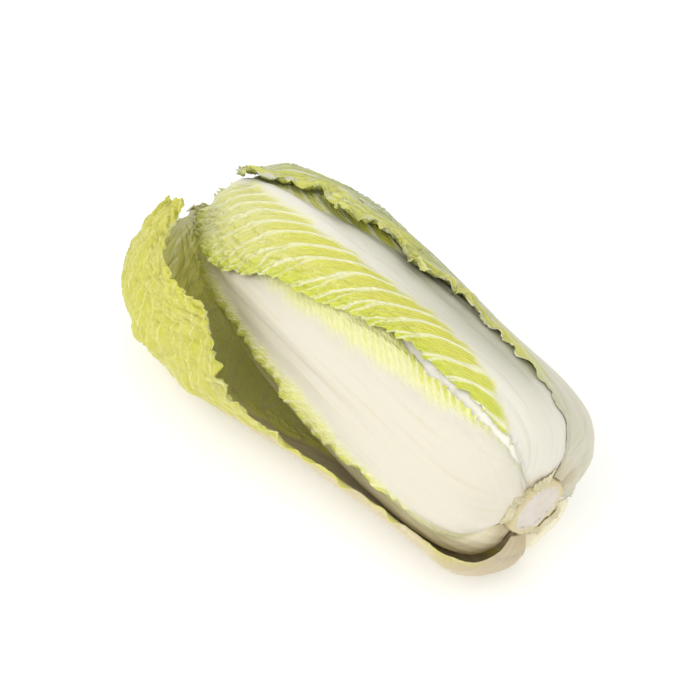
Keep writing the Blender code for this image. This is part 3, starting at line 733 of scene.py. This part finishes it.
def leaf_colour(tree, flat, patches, veins, fields, shades):
    """The colour of a leaf's skin on both of its sides, with painted shade along the top leaf's midrib and at the
    loose leaf's base.
    """
    # The blade: pale to green, greener along its margin, with pale veins.
    uneven = node(tree, "ShaderNodeMapRange", {0: patches, 1: 0.25, 2: 0.75, 3: -0.22, 4: 0.16})
    greener = node(tree, "ShaderNodeMath", {0: fields["green"], 1: uneven}, operation="ADD", use_clamp=True)
    skin = node(tree, "ShaderNodeMix", {0: greener, 6: shades["pale"], 7: shades["green"]}, data_type="RGBA")
    near_edge = node(tree, "ShaderNodeMapRange", {0: fields["margin"], 1: 11.0, 2: 1.0, 3: 0.0, 4: 0.85},
                     interpolation_type="SMOOTHSTEP")
    is_green = node(tree, "ShaderNodeMapRange", {0: fields["green"], 1: 0.0, 2: 0.35})
    along_edge = node(tree, "ShaderNodeMath", {0: near_edge, 1: is_green}, operation="MULTIPLY")
    skin = node(tree, "ShaderNodeMix", {0: along_edge, 6: skin, 7: shades["margin"]}, data_type="RGBA")
    on_skin = node(tree, "ShaderNodeMath", {0: veins, 1: 0.85}, operation="MULTIPLY")
    skin = node(tree, "ShaderNodeMix", {0: on_skin, 6: skin, 7: shades["vein"]}, data_type="RGBA")

    # The midrib: cream, with faint lines along it.
    lengthwise = node(tree, "ShaderNodeMapping", {"Vector": flat, "Scale": (1.0, 30.0, 1.0)})
    streaks = node(tree, "ShaderNodeTexNoise", {"Vector": lengthwise, "Scale": 1.0, "Detail": 2.0})
    faint = node(tree, "ShaderNodeMapRange", {0: streaks, 1: 0.5, 2: 0.75, 3: 0.0, 4: 0.55},
                 interpolation_type="SMOOTHSTEP")
    cream = node(tree, "ShaderNodeMix", {0: faint, 6: shades["rib"], 7: shades["streak"]}, data_type="RGBA")
    outside = node(tree, "ShaderNodeMix", {0: fields["rib"], 6: skin, 7: cream}, data_type="RGBA")

    # The inner side has colours of its own, and the flesh yellows beside the cut. On the loose leaf the base
    # colour is darker and reaches further, and there it is partly painted shade and warm bounce light under the
    # leaf.
    on_inside = node(tree, "ShaderNodeMath", {0: veins, 1: 0.6}, operation="MULTIPLY")
    within = node(tree, "ShaderNodeMix", {0: on_inside, 6: shades["inside"], 7: shades["rib"]},
                  data_type="RGBA")
    within = node(tree, "ShaderNodeMix", {0: fields["rib"], 6: within, 7: shades["streak"]}, data_type="RGBA")
    inner_green = node(tree, "ShaderNodeMath", {0: fields["inside"], 1: fields["green"]}, operation="MULTIPLY")
    colour = node(tree, "ShaderNodeMix", {0: inner_green, 6: outside, 7: within}, data_type="RGBA")
    # Multiplied greyer by the shade field: partly the skin's own grey, partly painted shade.
    colour = node(tree, "ShaderNodeMix", {0: fields["shade"], 6: colour, 7: GREY_SKIN_AND_SHADE}, data_type="RGBA",
                  blend_type="MULTIPLY")
    at_base = node(tree, "ShaderNodeMath", {0: fields["base"], 1: 0.55}, operation="MULTIPLY")
    return node(tree, "ShaderNodeMix", {0: at_base, 6: colour, 7: shades["base"]}, data_type="RGBA")


@functools.lru_cache(maxsize=None)
def leaf_material(look):
    """Fresh cabbage leaf: a waxy skin over wet, pale flesh, so it glows a little and shines in patches."""
    colours = getattr(bpy.context.scene.cabbage, look)
    shades = {key: (*getattr(colours, key), 1.0) for key, *_ in LEAF_SHADES}
    made, tree = blank_material(f"cabbage_leaf_{look}")
    fields = {key: node(tree, "ShaderNodeAttribute", attribute_name=key).outputs["Fac"]
              for key in FIELDS}
    flat = node(tree, "ShaderNodeUVMap", uv_map="along_veins")
    blade = node(tree, "ShaderNodeMath", {0: 1.0, 1: fields["rib"]}, operation="SUBTRACT")
    patches = node(tree, "ShaderNodeTexNoise", {"Vector": flat, "Scale": UV_MM / 16.0, "Detail": 3.0})
    veins, fine_net = leaf_veins(tree, flat, blade, fields)
    colour = leaf_colour(tree, flat, patches, veins, fields, shades)

    # Meshes of the net swell a little, and the whole skin has a fine grain of 0.9 mm.
    meshes = node(tree, "ShaderNodeMath", {0: fine_net, 1: blade}, operation="MULTIPLY")
    grain = node(tree, "ShaderNodeTexNoise", {"Vector": flat, "Scale": UV_MM / 0.9, "Detail": 2.0})
    swell = node(tree, "ShaderNodeMath", {0: grain, 1: 0.1, 2: meshes}, operation="MULTIPLY_ADD")
    dents = node(tree, "ShaderNodeBump", {"Height": swell, "Strength": 0.5, "Distance": 0.002})
    wax = node(tree, "ShaderNodeMapRange", {0: patches, 1: 0.3, 2: 0.7, 3: 0.36, 4: 0.48})
    shader = node(tree, "ShaderNodeBsdfPrincipled",
                  {"Base Color": colour, "Roughness": wax, "Normal": dents, "Subsurface Weight": 0.4,
                   "Subsurface Radius": (1.0, 0.95, 0.6), "Subsurface Scale": 0.003, "IOR": 1.42})
    node(tree, "ShaderNodeOutputMaterial", {"Surface": shader})
    return made


def stem_material(settings):
    """Cut cabbage stem: wet white flesh in the middle, with a drier, tan and fibrous skin round it."""
    made, tree = blank_material("cut_stem_flesh")
    place = node(tree, "ShaderNodeTexCoord").outputs["Object"]
    on_axis = node(tree, "ShaderNodeMapping", {"Vector": place, "Location": (-CUT_X, -AXIS_Y, -AXIS_Z)})
    across = node(tree, "ShaderNodeMapping", {"Vector": on_axis, "Scale": (0.0, OBJECT_MM, OBJECT_MM)})
    radius = node(tree, "ShaderNodeVectorMath", {0: across}, operation="LENGTH").outputs["Value"]
    mottle = node(tree, "ShaderNodeTexNoise", {"Vector": place, "Scale": OBJECT_MM / 7.0, "Detail": 3.0})
    wander = node(tree, "ShaderNodeMath", {0: mottle, 1: 3.0, 2: radius}, operation="MULTIPLY_ADD")
    edge = node(tree, "ShaderNodeMapRange", {0: wander, 1: 17.0, 2: 18.6}, interpolation_type="SMOOTHSTEP")
    spots = node(tree, "ShaderNodeMapRange", {0: mottle, 1: 0.3, 2: 0.8})
    flesh = node(tree, "ShaderNodeMix", {0: spots, 6: (*settings.flesh, 1.0), 7: (*settings.flesh_shade, 1.0)},
                 data_type="RGBA")
    colour = node(tree, "ShaderNodeMix", {0: edge, 6: flesh, 7: (*settings.skin, 1.0)}, data_type="RGBA")
    fibres = node(tree, "ShaderNodeTexNoise", {"Vector": place, "Scale": OBJECT_MM / 1.2, "Detail": 3.0})
    rough = node(tree, "ShaderNodeBump", {"Height": fibres, "Strength": 0.25, "Distance": 0.0005})
    shader = node(tree, "ShaderNodeBsdfPrincipled",
                  {"Base Color": colour, "Roughness": 0.5, "Normal": rough, "Subsurface Weight": 0.2,
                   "Subsurface Radius": (1.0, 0.9, 0.6), "Subsurface Scale": 0.003})
    node(tree, "ShaderNodeOutputMaterial", {"Surface": shader})
    return made


def vessel_material(settings):
    """Dried sap vessels: dull brown, mottled by how far each has dried."""
    made, tree = blank_material("dried_vessel")
    place = node(tree, "ShaderNodeTexCoord").outputs["Object"]
    mottle = node(tree, "ShaderNodeTexNoise", {"Vector": place, "Scale": OBJECT_MM / 1.5})
    colour = node(tree, "ShaderNodeMix",
                  {0: mottle, 6: (*settings.vessel, 1.0), 7: (*settings.vessel_pale, 1.0)}, data_type="RGBA")
    shader = node(tree, "ShaderNodeBsdfPrincipled", {"Base Color": colour, "Roughness": 0.7})
    node(tree, "ShaderNodeOutputMaterial", {"Surface": shader})
    return made


def floor_material(settings):
    """Opal acrylic lit from below: even and bright, with a grain of 2.5 mm too faint to see."""
    made, tree = blank_material("lit_opal_acrylic")
    place = node(tree, "ShaderNodeTexCoord").outputs["Object"]
    grain = node(tree, "ShaderNodeTexNoise", {"Vector": place, "Scale": OBJECT_MM / 2.5})
    tint = node(tree, "ShaderNodeMapRange", {0: grain, 3: 0.985, 4: 1.0})
    colour = node(tree, "ShaderNodeMix", {0: tint, 6: (0.0, 0.0, 0.0, 1.0), 7: (*settings.floor, 1.0)},
                  data_type="RGBA")
    shader = node(tree, "ShaderNodeBsdfPrincipled",
                  {"Base Color": colour, "Roughness": 0.9, "Specular IOR Level": 0.0,
                   "Emission Color": (1.0, 1.0, 1.0, 1.0), "Emission Strength": settings.floor_glow})
    node(tree, "ShaderNodeOutputMaterial", {"Surface": shader})
    return made


# ---------------------------------------------------------------- settings

def colour_setting(name, description, hex_colour):
    """A colour setting with its default as sRGB hex."""
    return FloatVectorProperty(name=name, description=description, subtype="COLOR", size=3, min=0.0, max=1.0,
                               default=linear(hex_colour))


LEAF_SHADES = (
    ("rib", "Midrib", "The broad midrib"),
    ("streak", "Midrib streaks", "The faint lines along the midrib, and its inner side"),
    ("pale", "Pale blade", "The blade near the base"),
    ("green", "Blade", "The blade further out"),
    ("margin", "Margin", "The blade's edge"),
    ("vein", "Veins", "The side veins and their net"),
    ("inside", "Inside", "The side towards the heart"),
    # On the loose leaf the base colour is partly painted shade and warm bounce light.
    ("base", "Base", "The flesh beside the cut"))


def leaf_colours(name, *hex_colours):
    """A group of settings for the colours of one kind of leaf, given in the order of LEAF_SHADES."""
    rows = {key: colour_setting(label, meaning, shade)
            for (key, label, meaning), shade in zip(LEAF_SHADES, hex_colours, strict=True)}
    return type(name, (bpy.types.PropertyGroup,), {"__annotations__": rows})


FrontLeafColours = leaf_colours(
    "FrontLeafColours", "#ddd7c5", "#d6ceb0", "#ece8bf", "#eeec86", "#d3d65a", "#f0eeb2", "#bcc274", "#d2c5a8")
TopLeafColours = leaf_colours(
    "TopLeafColours", "#e0dcce", "#cecab9", "#ebe8b6", "#d8d65c", "#c9d044", "#ecebc6", "#9fa940", "#cfc2a6")
RightLeafColours = leaf_colours(
    "RightLeafColours", "#cdc8b2", "#b9b89e", "#cfccb0", "#a6b07c", "#dedc5c", "#d7d7c2", "#909932", "#c0b395")
# The loose leaf's base colour is darker than the others', partly painted shade under its base.
LooseLeafColours = leaf_colours(
    "LooseLeafColours", "#cfc29f", "#ebe6cc", "#d6ca9c", "#cac84c", "#cdca4a", "#dfdb92", "#d8d888", "#aa9471")
LowerLeafColours = leaf_colours(
    "LowerLeafColours", "#efe6c6", "#ddd3aa", "#e6deab", "#adb44e", "#c2bf6a", "#d9d6b0", "#c6c864", "#beaf8b")
InnerLeafColours = leaf_colours(
    "InnerLeafColours", "#f0ece0", "#e8e4d2", "#e1deb7", "#d1d281", "#c0c558", "#e4e1ca", "#d3d38a", "#d5cdb3")


class CabbageSettings(bpy.types.PropertyGroup):
    """What a user would change. The groups of colours are named like the leaves' looks."""
    front: PointerProperty(type=FrontLeafColours, name="Front leaf", description="The broad leaf in front")
    top: PointerProperty(type=TopLeafColours, name="Top leaf", description="The veined leaf on top")
    right: PointerProperty(type=RightLeafColours, name="Right leaf", description="The leaf folded over the tip")
    loose: PointerProperty(type=LooseLeafColours, name="Loose leaf", description="The leaf that has come away")
    lower: PointerProperty(type=LowerLeafColours, name="Lower leaves", description="The leaves underneath")
    inner: PointerProperty(type=InnerLeafColours, name="Inner leaves", description="The leaves round the heart")
    heart: PointerProperty(type=InnerLeafColours, name="Heart leaves", description="The small leaves inside")
    stub: PointerProperty(type=LowerLeafColours, name="Stubs", description="What is left of trimmed leaves")
    crinkle: FloatProperty(
        name="Crinkle", description="Scales the puffs between veins and the frilled margins", default=1.0,
        min=0.0, max=2.0, subtype="FACTOR")
    vein_relief: FloatProperty(
        name="Vein relief", description="Scales how far the veins stand up", default=1.0, min=0.0, max=2.0,
        subtype="FACTOR")
    lip: FloatProperty(
        name="Lip", description="How far more the lip of the cut stands up, in mm", default=0.0, min=-0.5,
        max=1.5)
    vessels: IntProperty(
        name="Vessels", description="Vessel ends on the cut face", default=46, min=3, max=200)
    vessel_ring: FloatProperty(
        name="Vessel ring", description="Radius of the ring of vessel ends", default=STEM_RADIUS * MM * 0.77,
        unit="LENGTH")
    flesh: colour_setting("Stem flesh", "The middle of the cut face", "#dad1c6")
    flesh_shade: colour_setting("Stem flesh, wetter", "Its patches that are wet", "#cfc6b4")
    skin: colour_setting("Stem skin", "The lip round the cut face", "#d1c499")
    vessel: colour_setting("Vessel", "The ends of the vessels", "#b39a62")
    vessel_pale: colour_setting("Vessel, drier", "Their patches that are dry", "#cdb98a")
    floor: colour_setting("Floor", "The lit acrylic that the head lies on", "#fcfcfc")
    floor_glow: FloatProperty(
        name="Floor glow", description="Strength of the light from under the floor", default=0.1, min=0.0)
    key_power: FloatProperty(
        name="Key light", description="Power of the large light over the head's left", default=4.0, min=0.0,
        unit="POWER")
    fill_power: FloatProperty(
        name="Fill light", description="Power of the light beside the camera", default=2.2, min=0.0,
        unit="POWER")
    sky: FloatProperty(
        name="Room light", description="Strength of the even light all round", default=0.9, min=0.0)
    lens: FloatProperty(name="Lens", description="Focal length of the camera", default=82.3, unit="CAMERA")


# ---------------------------------------------------------------- operators

def build_wrapped(name):
    """Builds a wrapped leaf in the place of the frame's node."""
    piece = wrapped_leaf(laid_head()[2][name], bpy.context.scene.cabbage)
    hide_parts(name)


class CABBAGE_OT_heart(bpy.types.Operator):
    """Builds the small leaves of the heart"""
    bl_idname = "cabbage.heart"
    bl_label = "Heart leaves"

    def execute(self, context):
        for place in range(HEART_LEAVES):
            build_wrapped(f"heart_leaf_{place + 1}")
        return {"FINISHED"}


class CABBAGE_OT_inner(bpy.types.Operator):
    """Builds the leaves wrapped round the heart"""
    bl_idname = "cabbage.inner"
    bl_label = "Inner leaves"

    def execute(self, context):
        for place in range(INNER_LEAVES):
            build_wrapped(f"inner_leaf_{place + 1}")
        return {"FINISHED"}


class CABBAGE_OT_outer(bpy.types.Operator):
    """Builds the outer leaves that wrap the head"""
    bl_idname = "cabbage.outer"
    bl_label = "Outer leaves"

    def execute(self, context):
        for name in ("white_ribbed_leaf", "lower_leaf", "front_leaf", "top_leaf", "under_leaf"):
            build_wrapped(name)
        return {"FINISHED"}


class CABBAGE_OT_stubs(bpy.types.Operator):
    """Builds the stubs of the leaves that were trimmed off"""
    bl_idname = "cabbage.stubs"
    bl_label = "Stubs of trimmed leaves"

    def execute(self, context):
        for place in (1, 2, 3):
            build_wrapped(f"stub_of_trimmed_leaf_{place}")
        return {"FINISHED"}


class CABBAGE_OT_right(bpy.types.Operator):
    """Builds the striped leaf that folds over the tip"""
    bl_idname = "cabbage.right"
    bl_label = "Right leaf"

    def execute(self, context):
        build_wrapped("right_leaf")
        return {"FINISHED"}


class CABBAGE_OT_loose(bpy.types.Operator):
    """Builds the outer leaf that has come away from the head"""
    bl_idname = "cabbage.loose"
    bl_label = "Loose leaf"

    def execute(self, context):
        piece = loose_outer_leaf(context.scene.cabbage)
        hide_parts("loose_outer_leaf")
        return {"FINISHED"}


class CABBAGE_OT_stem(bpy.types.Operator):
    """Builds the cut stem and the ends of its vessels"""
    bl_idname = "cabbage.stem"
    bl_label = "Cut stem"

    def execute(self, context):
        settings = context.scene.cabbage
        body = finished(stem_body(settings.lip), stem_material(settings))
        for piece in (body, vessel_ends(settings)):
            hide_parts("cut_stem")
        return {"FINISHED"}


class CABBAGE_OT_stage(bpy.types.Operator):
    """Makes the floor, the lights and the camera"""
    bl_idname = "cabbage.stage"
    bl_label = "Stage"

    def execute(self, context):
        scene, settings = context.scene, context.scene.cabbage
        scene.view_settings.view_transform = "Standard"
        mesh = bpy.data.meshes.new("floor")
        corners = [(x * FLOOR_HALF, y * FLOOR_HALF, 0.0) for x, y in ((-1, -1), (1, -1), (1, 1), (-1, 1))]
        mesh.from_pydata(corners, [], [(0, 1, 2, 3)])
        mesh.materials.append(floor_material(settings))
        floor = bpy.data.objects.new("floor", mesh)
        scene.collection.objects.link(floor)

        right = Vector((math.cos(CAMERA_AZIMUTH), math.sin(CAMERA_AZIMUTH), 0.0))
        back = Vector((math.sin(CAMERA_AZIMUTH) * math.cos(CAMERA_ELEVATION),
                       -math.cos(CAMERA_AZIMUTH) * math.cos(CAMERA_ELEVATION), math.sin(CAMERA_ELEVATION)))
        turned = Matrix((right, back.cross(right), back)).transposed()
        target = Vector((CUT_X - TARGET_DEPTH, AXIS_Y, AXIS_Z))
        camera = bpy.data.objects.new("camera", bpy.data.cameras.new("camera"))
        camera.data.lens = settings.lens
        camera.data.sensor_width = 36.0
        camera.matrix_world = Matrix.Translation(target + turned @ Vector(CAMERA_PLACE)) @ turned.to_4x4()
        scene.collection.objects.link(camera)
        scene.camera = camera

        for name, size, offset in LIGHTS:
            place = turned @ Vector(offset)
            light = bpy.data.lights.new(name, "AREA")
            light.energy, light.size = getattr(settings, f"{name}_power"), size
            lamp = bpy.data.objects.new(name, light)
            lamp.location = target + place
            lamp.rotation_euler = (-place).to_track_quat("-Z", "Y").to_euler()
            scene.collection.objects.link(lamp)

        world = bpy.data.worlds.new("studio")
        world.use_nodes = True
        background = world.node_tree.nodes["Background"]
        background.inputs["Color"].default_value = (1.0, 1.0, 1.0, 1.0)
        background.inputs["Strength"].default_value = settings.sky
        scene.world = world
        return {"FINISHED"}


OPERATORS = (CABBAGE_OT_heart, CABBAGE_OT_inner, CABBAGE_OT_outer, CABBAGE_OT_stubs, CABBAGE_OT_right,
             CABBAGE_OT_loose, CABBAGE_OT_stem, CABBAGE_OT_stage)


class CABBAGE_PT_panel(bpy.types.Panel):
    """Lists the operators, the settings and the groups of colours"""
    bl_idname = "CABBAGE_PT_panel"
    bl_label = "Napa Cabbage"
    bl_space_type = "VIEW_3D"
    bl_region_type = "UI"
    bl_category = "Cabbage"

    def draw(self, context):
        settings = context.scene.cabbage
        for operator in OPERATORS:
            self.layout.operator(operator.bl_idname)
        for key in CabbageSettings.__annotations__:
            value = getattr(settings, key)
            if not isinstance(value, bpy.types.PropertyGroup):
                self.layout.prop(settings, key)
                continue
            box = self.layout.box()
            box.label(text=settings.bl_rna.properties[key].name)
            for shade, *_ in LEAF_SHADES:
                box.prop(value, shade)


CLASSES = (FrontLeafColours, TopLeafColours, RightLeafColours, LooseLeafColours, LowerLeafColours,
           InnerLeafColours, CabbageSettings, *OPERATORS, CABBAGE_PT_panel)


def register():
    for made in CLASSES:
        bpy.utils.register_class(made)
    bpy.types.Scene.cabbage = PointerProperty(type=CabbageSettings)


def unregister():
    del bpy.types.Scene.cabbage
    for made in reversed(CLASSES):
        bpy.utils.unregister_class(made)


def main():
    """Builds everything in order."""
    register()
    for operator in OPERATORS:
        getattr(bpy.ops.cabbage, operator.bl_idname.split(".")[1])()


if __name__ == "__main__":
    main()
